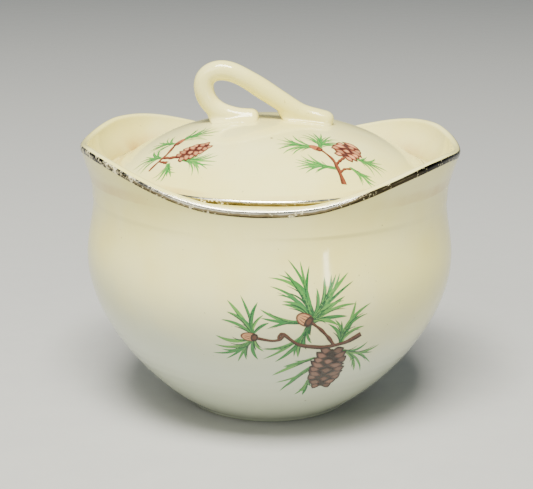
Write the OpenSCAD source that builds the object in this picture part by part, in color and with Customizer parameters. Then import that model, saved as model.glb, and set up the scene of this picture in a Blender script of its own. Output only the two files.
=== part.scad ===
// Covered sugar bowl in cream glazed ceramic: a round-bellied bowl with a flared rim that rises
// into two wings, a domed lid that sits on a ledge inside the rim, a loop handle of rolled clay
// luted to the lid, and a fired metal lustre line on the bowl's rim and on the lid's edge.
// Millimetres, +Z up, foot on z = 0, axis of the bowl on Z, wings and handle along X.

/* [Bowl] */
// Radius of the belly at its widest
belly_r = 55.1; // [46:0.1:66]
// Height of the belly's widest ring
belly_h = 46; // [36:0.5:50]
// Radius of the narrowest ring of the neck
neck_r = 53; // [43:0.1:64]
// Height of the narrowest ring of the neck
neck_h = 63.6; // [53:0.1:78]
// How far the rim stands out from the neck
rim_flare = 3.6; // [1:0.1:8]
// Height of the rim's low points, front and back, above the lid's ledge
rim_up = 1.7; // [1.5:0.1:8]
// Thickness of the belly's wall
wall = 4.2; // [3:0.1:5.5]
// Thickness of the wall beside the lid
neck_wall = 3.6; // [2.6:0.1:5]
// Thickness of the wall at the rim's crest
rim_wall = 2.4; // [1.6:0.1:3.6]

/* [Wings] */
// Rise of the wings above the rim's low points
wing_rise = 9.2; // [0:0.1:12]
// Distance along X from each pair of peaks to the rim's side tip
tip_w = 5.4; // [4:0.1:14]
// Dip of the rim at each side tip, between its two peaks
tip_dip = 1.8; // [0:0.1:6]

/* [Foot] */
// Outer radius of the foot ring
foot_r = 26; // [18:0.5:34]
// Width of the foot ring's flat face
foot_w = 3.5; // [2:0.5:6]
// Depth of the recess inside the foot ring
foot_recess = 1.8; // [0.6:0.1:3]

/* [Ledge and lid] */
// How far the ledge reaches in from the wall
ledge_w = 7.9; // [6:0.1:12]
// Height of the ledge above the narrowest ring of the neck
ledge_up = 6.5; // [5:0.1:9]
// Thickness of the ledge at its inner edge
ledge_t = 3.3; // [2:0.1:5]
// Gap between the lid's edge and the wall around it
edge_gap = 3; // [0.6:0.1:4.2]
// Height of the dome above the lid's edge
dome_rise = 13.9; // [7:0.1:20]
// How steeply the dome's shoulder falls: a higher power is flatter on top
dome_power = 2.5; // [2:0.1:5]
// Thickness of the lid's wall
lid_wall = 4; // [3:0.1:5]
// Depth of the skirt that keeps the lid in the mouth
skirt_depth = 6.3; // [3:0.1:12]
// Gap between the lid and the bowl, beside the skirt and under the flange
lid_gap = 0.3; // [0.2:0.05:0.6]

/* [Handle] */
// Thickness of the rolled clay strap
strap_d = 5.8; // [4:0.1:8]
// Distance along X from the handle's right foot to the far side of its curl
handle_len = 37.2; // [30:0.2:46]
// Distance along X from the middle of the lid to the handle's right foot
handle_right = 17.2; // [12:0.2:22]
// Height of the strap's centre line above the top of the dome, at its highest
handle_rise = 14.1; // [10:0.1:20]

/* [Lustre line] */
// Height of the metal line on the rim
band_w = 1.4; // [1:0.1:4]
// Distance of the line below the crest of the rim
band_drop = 0.9; // [0.3:0.1:2]
// Height of the metal line on the lid's edge
lid_band_w = 1.1; // [0.6:0.1:1.3]
// Thickness of the modelled metal film
film_t = 0.15; // [0.1:0.05:0.3]
// Gap between the modelled film and the glaze
film_gap = 0.06; // [0.04:0.01:0.1]

/* [Hidden] */
$fn = 144;

GLAZE = [0.91, 0.88, 0.77];
LUSTRE = [0.72, 0.66, 0.55];
CURVE_STEPS = 16;

// sizes that follow from the driving ones
inner_neck_r = neck_r - neck_wall;
mouth_r = inner_neck_r - ledge_w;
lid_r = inner_neck_r - edge_gap;
rim_r = neck_r + rim_flare;
wing_x = rim_r - tip_w;
ledge_h = neck_h + ledge_up;
rim_low_h = ledge_h + rim_up;
rim_top_h = rim_low_h + wing_rise;
flange_bottom = ledge_h + lid_gap;
flange_t = 1.8;
edge_top = flange_bottom + flange_t;
dome_base = edge_top + 0.7;
dome_r = lid_r - 1.5;
dome_top = edge_top + dome_rise;
skirt_r = mouth_r - lid_gap - 0.7;
skirt_inner_r = skirt_r - 3.5;

// point and inward normal of a cubic Bezier curve
function bez(p, t) = pow(1 - t, 3) * p[0] + 3 * t * pow(1 - t, 2) * p[1]
    + 3 * t * t * (1 - t) * p[2] + t * t * t * p[3];
function bez_run(p, t) = 3 * pow(1 - t, 2) * (p[1] - p[0]) + 6 * t * (1 - t) * (p[2] - p[1])
    + 3 * t * t * (p[3] - p[2]);
function unit(v) = v / norm(v);
function inward(p, t, by) = let (d = unit(bez_run(p, t))) bez(p, t) + by * [-d[1], d[0]];
function steps(n) = [for (i = [0 : n]) i / n];

// the bowl's outline in three curves: foot to belly, belly to neck, neck to rim
foot_curve = [[foot_r, 1], [foot_r + 11, 8.3], [belly_r, belly_h * 0.58], [belly_r, belly_h]];
neck_curve = [[belly_r, belly_h], [belly_r, belly_h + (neck_h - belly_h) * 0.37],
    [neck_r, neck_h - (neck_h - belly_h) * 0.34], [neck_r, neck_h]];
rim_curve = [[neck_r, neck_h], [neck_r - 0.1, neck_h + 8.6], [rim_r - 0.8, neck_h + 10.4],
    [rim_r, max(rim_top_h + 1.1, neck_h + 18)]];

// rim height above the low points at a distance x from the middle plane
function smooth_rise(u) = pow(sin(90 * pow(u, 1.42)), 2);
function rim_rise(x) = let (u = abs(x))
    u < wing_x ? wing_rise * smooth_rise(u / wing_x)
    : wing_rise - tip_dip * pow((u - wing_x) / (rim_r - wing_x), 1.6);
function rim_height(x) = rim_low_h + rim_rise(x);

// outer radius of the flared rim at a height, by halving the curve's parameter
function rim_t(z, lo = 0, hi = 1, n = 14) = n == 0 ? (lo + hi) / 2
    : bez(rim_curve, (lo + hi) / 2)[1] < z ? rim_t(z, (lo + hi) / 2, hi, n - 1)
    : rim_t(z, lo, (lo + hi) / 2, n - 1);
function rim_radius(z) = bez(rim_curve, rim_t(z))[0];

// height of the lid's outer face at a radius
function dome_z(r) = dome_base + (dome_top - dome_base) * (1 - pow(r / dome_r, dome_power));

module bowl_profile() {
    ledge_t_param = rim_t(ledge_h);
    inner_rim = [for (s = steps(CURVE_STEPS))
        inward(rim_curve, 1 - s * (1 - ledge_t_param), rim_wall + s * s * (neck_wall - rim_wall))];
    corner_r = inner_rim[CURVE_STEPS][0];
    floor_h = inward(foot_curve, 0, wall)[1];
    polygon(concat(
        [for (t = steps(CURVE_STEPS * 2)) bez(foot_curve, t)],
        [for (t = steps(CURVE_STEPS)) if (t > 0) bez(neck_curve, t)],
        [for (t = steps(CURVE_STEPS)) if (t > 0) bez(rim_curve, t)],
        inner_rim,
        [[corner_r - 0.3, ledge_h], [mouth_r + 0.5, ledge_h], [mouth_r, ledge_h - 0.5], [mouth_r, ledge_h - ledge_t]],
        [for (t = steps(CURVE_STEPS)) if (t < 0.7) inward(neck_curve, 0.7 - t, wall)],
        [for (t = steps(CURVE_STEPS * 2)) if (t > 0) inward(foot_curve, 1 - t, wall)],
        [[0, floor_h], [0, foot_recess], [foot_r - foot_w - 1, foot_recess],
         [foot_r - foot_w, 0], [foot_r - 0.5, 0]]
    ));
}

// everything above the wavy crest, as a prism along Y
module above_crest() {
    reach = rim_r + 6;
    rotate([90, 0, 0])
        linear_extrude(height = 2 * reach, center = true)
            polygon(concat(
                [for (x = [-reach : 2 : reach]) [x, rim_height(x)]],
                [[reach, rim_height(reach)], [reach, rim_top_h + 20], [-reach, rim_top_h + 20]]
            ));
}

module bowl() {
    color(GLAZE)
        difference() {
            rotate_extrude() bowl_profile();
            above_crest();
        }
}

// a closed ring with four corners per section: corners(a) lists them for the angle a
module ring_of_sections(sections) {
    n = len(sections);
    m = len(sections[0]);
    polyhedron(
        points = [for (s = sections) each s],
        faces = [for (i = [0 : n - 1], j = [0 : m - 1])
            let (i2 = (i + 1) % n, j2 = (j + 1) % m)
            [i * m + j, i * m + j2, i2 * m + j2, i2 * m + j]]
    );
}

module rim_lustre_line() {
    function ring_point(a, drop, out) =
        let (z = rim_height(rim_r * cos(a)) - drop, r = rim_radius(z) + out)
        [r * cos(a), r * sin(a), z];
    color(LUSTRE)
        ring_of_sections([for (a = [0 : 2.5 : 357.5]) [
            ring_point(a, band_drop + band_w, film_gap),
            ring_point(a, band_drop, film_gap),
            ring_point(a, band_drop, film_gap + film_t),
            ring_point(a, band_drop + band_w, film_gap + film_t)
        ]]);
}

module lid_profile() {
    inner_r = skirt_inner_r - 0.5;
    polygon(concat(
        [for (s = steps(CURVE_STEPS * 2)) [dome_r * s, dome_z(dome_r * s)]],
        [[lid_r - 0.6, edge_top + 0.35], [lid_r, edge_top - 0.2], [lid_r, flange_bottom + 0.4],
         [lid_r - 0.5, flange_bottom], [skirt_r, flange_bottom],
         [skirt_r - 0.3, flange_bottom - skirt_depth + 0.6],
         [skirt_r - 0.9, flange_bottom - skirt_depth],
         [skirt_inner_r + 0.5, flange_bottom - skirt_depth],
         [skirt_inner_r, flange_bottom - skirt_depth + 0.6],
         [skirt_inner_r, flange_bottom]],
        [for (s = steps(CURVE_STEPS)) [inner_r * (1 - s), dome_z(inner_r * (1 - s)) - lid_wall]]
    ));
}

module lid() {
    color(GLAZE) rotate_extrude() lid_profile();
}

module lid_lustre_line() {
    middle = (flange_bottom + 0.4 + edge_top - 0.2) / 2;
    height = min(lid_band_w, flange_t - 0.6);
    color(LUSTRE)
        translate([0, 0, middle - height / 2])
            difference() {
                cylinder(r = lid_r + film_gap + film_t, h = height);
                translate([0, 0, -1]) cylinder(r = lid_r + film_gap, h = height + 2);
            }
}

// The strap lies on the dome at its right foot, climbs to the upper left, turns down round the
// curl and ends on the dome again, pointing right. Each point is a share of the handle's length
// and of its rise.
strap_low = 0.05 * strap_d;
strap_route = [for (p = [
    [0.00, 0.00], [0.09, 0.05], [0.22, 0.125], [0.30, 0.225], [0.38, 0.36], [0.54, 0.63],
    [0.70, 0.89], [0.78, 0.97], [0.86, 1.00], [0.93, 0.96], [0.98, 0.83], [1.00, 0.64],
    [0.975, 0.415], [0.92, 0.235], [0.84, 0.10], [0.74, 0.02], [0.65, 0.00], [0.565, 0.00]])
    [handle_right - handle_len * p[0], (handle_rise - strap_low) * p[1]]];

// Catmull-Rom curve through the route
function crom(p, i, t) =
    let (a = p[max(i - 1, 0)], b = p[i], c = p[i + 1], d = p[min(i + 2, len(p) - 1)])
    0.5 * (2 * b + (c - a) * t + (2 * a - 5 * b + 4 * c - d) * t * t
        + (3 * b - a - 3 * c + d) * t * t * t);
strap_line = [for (i = [0 : len(strap_route) - 2], t = [0 : 0.25 : 0.75]) crom(strap_route, i, t)];

// a low point of the strap rides on the dome, and the lift fades out as the strap climbs
function strap_point(i) = let (p = strap_line[i])
    [p[0], 0, dome_z(min(abs(p[0]), dome_r)) * (1 - min(1, p[1] / 4))
        + dome_top * min(1, p[1] / 4) + strap_low + p[1]];
function strap_run(i) = let (last = len(strap_line) - 1)
    unit(strap_point(min(i + 1, last)) - strap_point(max(i - 1, 0)));

module lid_handle() {
    last = len(strap_line) - 1;
    sides = 16;
    function end_scale(i) = let (e = min(i, last - i)) e >= 3 ? 1 : [0.45, 0.78, 0.93][e];
    rings = [for (i = [0 : last])
        let (c = strap_point(i), d = strap_run(i), r = strap_d / 2 * end_scale(i))
        [for (k = [0 : sides - 1]) let (a = 360 * k / sides)
            c + r * (cos(a) * [0, 1, 0] + sin(a) * [-d[2], 0, d[0]])]];
    color(GLAZE)
        difference() {
            polyhedron(
                points = [for (r = rings) each r],
                faces = concat(
                    [[for (k = [0 : sides - 1]) k]],
                    [for (i = [0 : last - 1], k = [0 : sides - 1]) let (k2 = (k + 1) % sides)
                        [i * sides + k, (i + 1) * sides + k, (i + 1) * sides + k2, i * sides + k2]],
                    [[for (k = [sides - 1 : -1 : 0]) last * sides + k]])
            );
            rotate_extrude() polygon(concat(
                [for (s = steps(CURVE_STEPS * 2)) [dome_r * s, dome_z(dome_r * s)]],
                [[dome_r, dome_base - 10], [0, dome_base - 10]]));
        }
}

bowl();
rim_lustre_line();
lid();
lid_lustre_line();
lid_handle();
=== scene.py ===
"""Covered sugar bowl in cream glaze, with printed pine sprigs and fired metal lines.

The bowl, the lid and the lid's rolled handle are surfaces of two parameters worked out as whole
arrays. Lengths inside the shape classes are millimetres in the frame's axes: foot on z = 0, the
bowl's axis on Z, the wings of the rim and the handle along X, the front towards -Y.
"""
import logging
from dataclasses import dataclass, field
from enum import Enum
from typing import Callable, Protocol

import bmesh
import bpy
import numpy as np
from mathutils import Euler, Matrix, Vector


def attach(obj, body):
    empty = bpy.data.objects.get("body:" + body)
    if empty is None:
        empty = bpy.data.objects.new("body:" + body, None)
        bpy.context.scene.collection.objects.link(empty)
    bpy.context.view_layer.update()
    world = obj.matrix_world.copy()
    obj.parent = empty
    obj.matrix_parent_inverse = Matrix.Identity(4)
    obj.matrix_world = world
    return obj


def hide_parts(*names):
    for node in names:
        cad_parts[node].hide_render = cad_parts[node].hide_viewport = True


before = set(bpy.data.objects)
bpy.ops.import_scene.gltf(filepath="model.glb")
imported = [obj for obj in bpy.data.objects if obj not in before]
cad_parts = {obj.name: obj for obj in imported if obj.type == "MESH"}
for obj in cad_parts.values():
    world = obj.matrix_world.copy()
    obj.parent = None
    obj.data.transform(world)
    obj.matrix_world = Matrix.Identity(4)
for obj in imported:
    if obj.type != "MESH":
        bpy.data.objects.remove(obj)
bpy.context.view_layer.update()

Array = np.ndarray
Colour = tuple[float, float, float, float]
Place = tuple[float, float]
MM = 0.001
# Metres within which two points are one, and under which an edge has no length.
SAME_PLACE = 2e-7
NO_LENGTH = 1e-8
# Millimetres by which the edges and the back of a metal film lie under the glaze's face.
FILM_EDGE_SINK = 0.03
FILM_BACK_SINK = 0.12
LOG = logging.getLogger("sugar_bowl")


class Body(Enum):
    """The frame's bodies that a piece can ride on."""

    BOWL = "bowl"
    LID = "lid"


class Slot(Enum):
    """The record's material slots."""

    GLAZE = "cream_glaze"
    LUSTRE = "metal_lustre"


def linear(red: int, green: int, blue: int) -> Colour:
    """Turns a colour as a paint chart gives it, 0 to 255, into linear light.

    Args:
        red: share of red.
        green: share of green.
        blue: share of blue.

    Returns:
        The linear colour with an alpha of one.
    """
    chart = np.array([red, green, blue]) / 255
    light = np.where(chart <= 0.04045, chart / 12.92, ((chart + 0.055) / 1.055) ** 2.4)
    return (*light.tolist(), 1.0)


def smooth(value: Array, low: float, high: float) -> Array:
    """Returns 0 below low, 1 above high, and a smooth cubic step between them."""
    share = np.clip((value - low) / (high - low), 0, 1)
    return share * share * (3 - 2 * share)


# ---------------------------------------------------------------------------------------------
# Shader nodes as expressions
# ---------------------------------------------------------------------------------------------


class Wire:
    """A shader value. Arithmetic on it adds Math nodes to the material it belongs to."""

    def __init__(self, paint: "Paint", socket: bpy.types.NodeSocket) -> None:
        """Keeps the socket and the paint that it belongs to."""
        self.paint = paint
        self.socket = socket

    def maths(self, operation: str, first: "Wire | float", second: "Wire | float") -> "Wire":
        """Adds one Math node.

        Args:
            operation: what the node does.
            first: its first value.
            second: its second value.

        Returns:
            A wire on the node's result.
        """
        return self.paint.node(
            "ShaderNodeMath", {"operation": operation}, {0: first, 1: second}
        )

    def __add__(self, other: "Wire | float") -> "Wire":
        """Adds."""
        return self.maths("ADD", self, other)

    def __radd__(self, other: float) -> "Wire":
        """Adds to a number."""
        return self.maths("ADD", other, self)

    def __sub__(self, other: "Wire | float") -> "Wire":
        """Subtracts."""
        return self.maths("SUBTRACT", self, other)

    def __rsub__(self, other: float) -> "Wire":
        """Subtracts from a number."""
        return self.maths("SUBTRACT", other, self)

    def __mul__(self, other: "Wire | float") -> "Wire":
        """Multiplies."""
        return self.maths("MULTIPLY", self, other)

    def __rmul__(self, other: float) -> "Wire":
        """Multiplies a number."""
        return self.maths("MULTIPLY", other, self)

    def __or__(self, other: "Wire | float") -> "Wire":
        """Takes the larger of two values, which joins two masks."""
        return self.maths("MAXIMUM", self, other)

    def step(self, low: float, high: float) -> "Wire":
        """Runs smoothly from 0 to 1 as this value goes from low to high.

        Args:
            low: where it is 0, which may be above high.
            high: where it is 1.

        Returns:
            A wire on the share.
        """
        settings = {"interpolation_type": "SMOOTHSTEP", "clamp": True}
        return self.paint.node(
            "ShaderNodeMapRange", settings, {"Value": self, "From Min": low, "From Max": high}
        )


class Paint:
    """One material under construction: a Principled surface and the nodes that feed it."""

    def __init__(self, name: str) -> None:
        """Starts an empty material.

        Args:
            name: the material's name.
        """
        self.material = bpy.data.materials.new(name)
        self.material.use_nodes = True
        self.tree = self.material.node_tree
        self.tree.nodes.clear()
        self.surface = self.tree.nodes.new("ShaderNodeBsdfPrincipled")
        output = self.tree.nodes.new("ShaderNodeOutputMaterial")
        self.tree.links.new(self.surface.outputs["BSDF"], output.inputs["Surface"])
        self.place = self.node("ShaderNodeTexCoord", out="Object")

    def node(
        self,
        kind: str,
        settings: dict | None = None,
        sockets: dict | None = None,
        out: str | int = 0,
    ) -> Wire:
        """Adds one node.

        Args:
            kind: the node's type.
            settings: properties set before the sockets; "stops" fills a colour ramp.
            sockets: values or wires for the inputs, by name, identifier or number.
            out: the output to hand back, by name, identifier or number.

        Returns:
            A wire on the chosen output.
        """
        made = self.tree.nodes.new(kind)
        for name, value in (settings or {}).items():
            if name == "stops":
                self._fill_ramp(made.color_ramp, value)
            else:
                setattr(made, name, value)
        for name, value in (sockets or {}).items():
            self._feed(self._find(made.inputs, name), value)
        return Wire(self, self._find(made.outputs, out))

    @staticmethod
    def _find(sockets: bpy.types.bpy_prop_collection, name: str | int) -> bpy.types.NodeSocket:
        """Finds a socket by number, or by identifier before name.

        Args:
            sockets: a node's inputs or outputs.
            name: the number, identifier or name.

        Returns:
            The socket.
        """
        if isinstance(name, int):
            return sockets[name]
        named = [s for s in sockets if s.identifier == name]
        return named[0] if named else sockets[name]

    @staticmethod
    def _fill_ramp(ramp: bpy.types.ColorRamp, stops: list[tuple[float, tuple]]) -> None:
        """Puts stops on a ramp.

        Args:
            ramp: the colour ramp.
            stops: a position and a colour for each.
        """
        while len(ramp.elements) < len(stops):
            ramp.elements.new(1.0)
        for element, (position, colour) in zip(ramp.elements, stops):
            element.position = position
            element.color = colour

    def _feed(self, socket: bpy.types.NodeSocket, value: object) -> None:
        """Links a wire to an input, or sets the input's own value.

        Args:
            socket: the input.
            value: a wire, or a value of the input's kind.
        """
        if isinstance(value, Wire):
            self.tree.links.new(value.socket, socket)
        else:
            socket.default_value = value

    def noise(self, scale: float, detail: float = 2.0, rough: float = 0.5, seed: float = 0.0,
              squeeze: tuple[float, float, float] = (1, 1, 1)) -> Wire:
        """Adds a cloudy pattern on Object coordinates.

        Args:
            scale: how many clouds to a metre.
            detail: how many finer layers it has.
            rough: how strong the finer layers are.
            seed: a shift that makes one pattern unlike another.
            squeeze: factors for the three axes.

        Returns:
            A value about 0.5, mostly from 0.3 to 0.7.
        """
        moved = self.node(
            "ShaderNodeMapping", None,
            {"Vector": self.place, "Location": (seed, -seed, seed / 2), "Scale": squeeze},
        )
        return self.node(
            "ShaderNodeTexNoise", None,
            {"Vector": moved, "Scale": scale, "Detail": detail, "Roughness": rough},
        )

    def mix(self, factor: "Wire | float", first: object, second: object) -> Wire:
        """Mixes two colours by a factor."""
        sockets = {"Factor_Float": factor, "A_Color": first, "B_Color": second}
        return self.node("ShaderNodeMix", {"data_type": "RGBA"}, sockets, "Result_Color")

    def attribute(self, name: str, out: str = "Fac") -> Wire:
        """Reads an attribute of the piece's own mesh."""
        return self.node("ShaderNodeAttribute", {"attribute_name": name}, None, out)

    def bump(self, height: Wire, distance: float, strength: float = 1.0) -> Wire:
        """Turns a height into a normal.

        Args:
            height: the pattern.
            distance: how deep its range from 0 to 1 is, in metres.
            strength: how much of it shows.

        Returns:
            A wire for a Normal input.
        """
        sockets = {"Height": height, "Distance": distance, "Strength": strength}
        return self.node("ShaderNodeBump", None, sockets)

    def finish(self, sockets: dict[str, object]) -> bpy.types.Material:
        """Feeds the surface.

        Args:
            sockets: a value or a wire for each of the surface's inputs that is named.

        Returns:
            The finished material.
        """
        for name, value in sockets.items():
            self._feed(self.surface.inputs[name], value)
        return self.material


# ---------------------------------------------------------------------------------------------
# Finishes
# ---------------------------------------------------------------------------------------------


@dataclass(frozen=True)
class CreamGlaze:
    """Clear glossy glaze over cream earthenware, a little uneven and tinted brown in places, with a
    painted bluish-grey shade low on the body.
    """

    body: Colour = linear(248, 238, 146)
    pale: Colour = linear(250, 242, 168)
    warm: Colour = linear(243, 222, 118)
    painted_low_shade: Colour = linear(190, 202, 190)
    brown_tint_colour: Colour = linear(206, 158, 72)
    biscuit: Colour = linear(226, 208, 172)
    speck: Colour = linear(60, 42, 30)

    def make(
        self, name: str, speck_at: tuple[float, float, float], shade_below: float,
    ) -> bpy.types.Material:
        """Builds the material.

        It reads two attributes of the mesh: stain, from 0 to 1, where the glaze is browned, and
        bare, 1 on the unglazed foot.

        Args:
            name: the material's name.
            speck_at: where one iron speck sits in the glaze, in metres.
            shade_below: height in metres below which a painted bluish-grey shade darkens the glaze
                towards the bottom.

        Returns:
            The material.
        """
        paint = Paint(name)
        brown_tint = paint.attribute("brown_tint")
        bare = paint.attribute("bare")
        height = paint.node("ShaderNodeSeparateXYZ", None, {0: paint.place}, "Z")
        drift = paint.noise(22, 3, 0.55, 0.9)
        # Painted shade: below this height the glaze blends into a darker bluish grey.
        low = (height + (drift - 0.5) * 0.03).step(shade_below, shade_below - 0.036)
        clouds = paint.noise(26, 3, 0.55, 3.1).step(0.36, 0.66)
        pools = paint.noise(70, 2, 0.5, 7.7).step(0.42, 0.7)
        colour = paint.mix(clouds, self.body, self.pale)
        colour = paint.mix(pools * 0.20, colour, self.warm)
        colour = paint.mix(low * 0.80, colour, self.painted_low_shade)
        blotch = paint.noise(120, 4, 0.6, 1.7).step(0.25, 0.75)
        browned = brown_tint * (0.55 + 0.55 * blotch)
        colour = paint.mix(browned.step(0.0, 1.15), colour, self.brown_tint_colour)
        pin = paint.noise(900, 1, 0.5, 5.3).step(0.775, 0.81) * 0.35
        away = paint.node(
            "ShaderNodeVectorMath", {"operation": "DISTANCE"},
            {0: paint.place, 1: speck_at}, "Value",
        )
        pin = pin | (away.step(0.00055, 0.0002) * 0.85)
        colour = paint.mix(pin, colour, self.speck)
        grain = paint.noise(1400, 3, 0.7, 2.2)
        colour = paint.mix(bare, colour, paint.mix(grain.step(0.3, 0.7), self.biscuit, self.warm))
        smear = paint.noise(38, 4, 0.6, 9.4).step(0.35, 0.75)
        rough = 0.10 + smear * 0.06 + brown_tint * 0.06 + bare * 0.5
        swell = paint.noise(95, 2, 0.45, 4.4)
        drag = paint.noise(210, 2, 0.5, 6.1, (0.35, 0.35, 2.2))
        relief = swell * 0.7 + drag * 0.12 + bare * grain * 0.5
        return paint.finish({
            "Base Color": colour,
            "Roughness": rough,
            "Normal": paint.bump(relief, 0.00022, 0.55),
            "IOR": 1.50,
            "Coat Weight": 0.30,
            "Coat Roughness": 0.04,
        })


@dataclass(frozen=True)
class MetalLustre:
    """A film of shiny metal fired over the glaze, rubbed thin and pitted on one side; its colour
    carries a painted highlight along the top of the line and painted dark reflections at its foot and
    on the right.
    """

    painted_highlight: Colour = linear(252, 246, 226)
    metal: Colour = linear(136, 122, 90)
    dark_reflection_and_tarnish: Colour = linear(24, 18, 9)
    under: Colour = linear(247, 236, 186)

    def make(self, name: str) -> bpy.types.Material:
        """Builds the material.

        It reads two attributes of the mesh: wear, from 0 to 1, where the film is rubbed, and edge,
        from 0 at the top of the line to 1 at its foot, along which a painted highlight gives way to a
        painted dark reflection.

        Args:
            name: the material's name.

        Returns:
            The material.
        """
        paint = Paint(name)
        wear = paint.attribute("wear")
        edge = paint.attribute("edge")
        side = paint.node("ShaderNodeSeparateXYZ", None, {0: paint.place}, "X")
        fine = paint.noise(1100, 4, 0.75, 2.5)
        coarse = paint.noise(330, 3, 0.6, 8.2)
        streak = paint.noise(60, 4, 0.65, 4.8)
        streaks = (streak - 0.5) * 0.8 + (coarse - 0.5) * 0.5
        # Painted reflection: from a painted highlight at the top of the line through the metal's own
        # colour to a painted dark reflection at its foot, darker again on the right, broken by brush
        # streaks and wear.
        reflection_band = edge + streaks + side.step(0.020, 0.030) * 0.62 + wear * 0.30
        # Painted dark reflection over the right end of the line.
        right_dark_reflection = (side + streaks * 0.008).step(0.036, 0.044)
        pitting = (fine * 0.55 + coarse * 0.45) + wear * 0.075
        rubbed = pitting.step(0.585, 0.62)
        # Dark mottling where the film is rubbed: wear, coloured with the painted dark reflection.
        black = (fine * 0.4 + coarse * 0.6 - wear * 0.02).step(0.50, 0.44)
        colour = paint.mix(reflection_band.step(0.34, 0.62), self.painted_highlight, self.metal)
        colour = paint.mix((reflection_band.step(0.76, 0.96) * 0.85) | right_dark_reflection, colour, self.dark_reflection_and_tarnish)
        colour = paint.mix(black * wear, colour, self.dark_reflection_and_tarnish)
        colour = paint.mix(rubbed, colour, self.under)
        rough = 0.12 + coarse.step(0.35, 0.7) * 0.10 + wear * 0.12 + right_dark_reflection * 0.10
        return paint.finish({
            "Base Color": colour,
            "Metallic": 1 - rubbed,
            "Roughness": rough,
            "Normal": paint.bump(fine * (0.3 + wear), 0.00010, 0.6),
        })


@dataclass(frozen=True)
class PrintedInk:
    """Ceramic ink under the glaze: each stroke's colour is on the mesh, broken by a fine grain."""

    thin: Colour = linear(240, 230, 192)

    def make(self, name: str) -> bpy.types.Material:
        """Builds the material from the mesh's ink colour attribute.

        Args:
            name: the material's name.

        Returns:
            The material.
        """
        paint = Paint(name)
        ink = paint.attribute("ink", "Color")
        wash = paint.noise(520, 3, 0.65, 3.7).step(0.32, 0.7)
        grain = paint.noise(3200, 2, 0.6, 6.6).step(0.35, 0.75)
        colour = paint.mix(wash * 0.03 + grain * 0.01, ink, self.thin)
        return paint.finish({
            "Base Color": colour,
            "Roughness": 0.12 + wash * 0.03,
            "IOR": 1.42,
            "Coat Weight": 0.12,
            "Coat Roughness": 0.04,
        })


# ---------------------------------------------------------------------------------------------
# Meshes
# ---------------------------------------------------------------------------------------------


def mesh_object(name: str, points: Array, faces: Array) -> bpy.types.Object:
    """Makes an object from points in millimetres and faces of three or four corners.

    Args:
        name: the piece's name.
        points: one row of three numbers for each point.
        faces: one row of point numbers for each face.

    Returns:
        The object, smooth shaded and linked to the scene.
    """
    mesh = bpy.data.meshes.new(name)
    mesh.from_pydata((points * MM).tolist(), [], faces.tolist())
    mesh.shade_smooth()
    made = bpy.data.objects.new(name, mesh)
    bpy.context.scene.collection.objects.link(made)
    return made


def grid_faces(rows: int, columns: int, wrap_rows: bool, wrap_columns: bool) -> Array:
    """Lists the four-cornered faces of a grid of points stored row by row.

    Args:
        rows: how many rows of points there are.
        columns: how many points a row has.
        wrap_rows: whether the last row joins the first.
        wrap_columns: whether the last column joins the first.

    Returns:
        Four point numbers for each face.
    """
    i = np.arange(rows if wrap_rows else rows - 1)[:, None]
    j = np.arange(columns if wrap_columns else columns - 1)[None, :]
    i2 = (i + 1) % rows
    j2 = (j + 1) % columns
    corners = [i * columns + j, i2 * columns + j, i2 * columns + j2, i * columns + j2]
    return np.stack(np.broadcast_arrays(*corners), -1).reshape(-1, 4)


def closed_surface(name: str, grid: Array, wrap: tuple[bool, bool]) -> bpy.types.Object:
    """Makes a closed piece from a grid of points, with its poles merged and faces outward.

    Args:
        name: the piece's name.
        grid: points in millimetres, an array of rows, columns and three numbers.
        wrap: whether the last row joins the first, and the last column the first.

    Returns:
        The object.
    """
    rows, columns = grid.shape[:2]
    made = mesh_object(name, grid.reshape(-1, 3), grid_faces(rows, columns, *wrap))
    work = bmesh.new()
    work.from_mesh(made.data)
    bmesh.ops.remove_doubles(work, verts=work.verts, dist=SAME_PLACE)
    bmesh.ops.dissolve_degenerate(work, edges=work.edges, dist=NO_LENGTH)
    bmesh.ops.recalc_face_normals(work, faces=work.faces)
    work.to_mesh(made.data)
    work.free()
    made.data.shade_smooth()
    return made


def mark(piece: bpy.types.Object, name: str, rule: Callable[[Array, Array, Array], Array]) -> None:
    """Writes a value for each point of a piece, worked out from where the point is.

    Args:
        piece: the object.
        name: the attribute's name.
        rule: gives the values from the arrays of x, y and z in millimetres.
    """
    count = len(piece.data.vertices)
    places = np.zeros(count * 3, np.float32)
    piece.data.vertices.foreach_get("co", places)
    x, y, z = (places.reshape(-1, 3).T / MM).astype(float)
    values = np.broadcast_to(rule(x, y, z), x.shape).astype(np.float32)
    layer = piece.data.attributes.new(name, "FLOAT", "POINT")
    layer.data.foreach_set("value", np.ascontiguousarray(values))


def dress(piece: bpy.types.Object, finish: bpy.types.Material, body: Body) -> None:
    """Gives a piece its finish and lets it ride on a body.

    Args:
        piece: the object.
        finish: its material.
        body: the body that carries it.
    """
    piece.data.materials.clear()
    piece.data.materials.append(finish)
    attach(piece, body.value)
    LOG.info("%s: %d points, rides on %s", piece.name, len(piece.data.vertices), body.value)


# ---------------------------------------------------------------------------------------------
# Curves
# ---------------------------------------------------------------------------------------------


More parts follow.
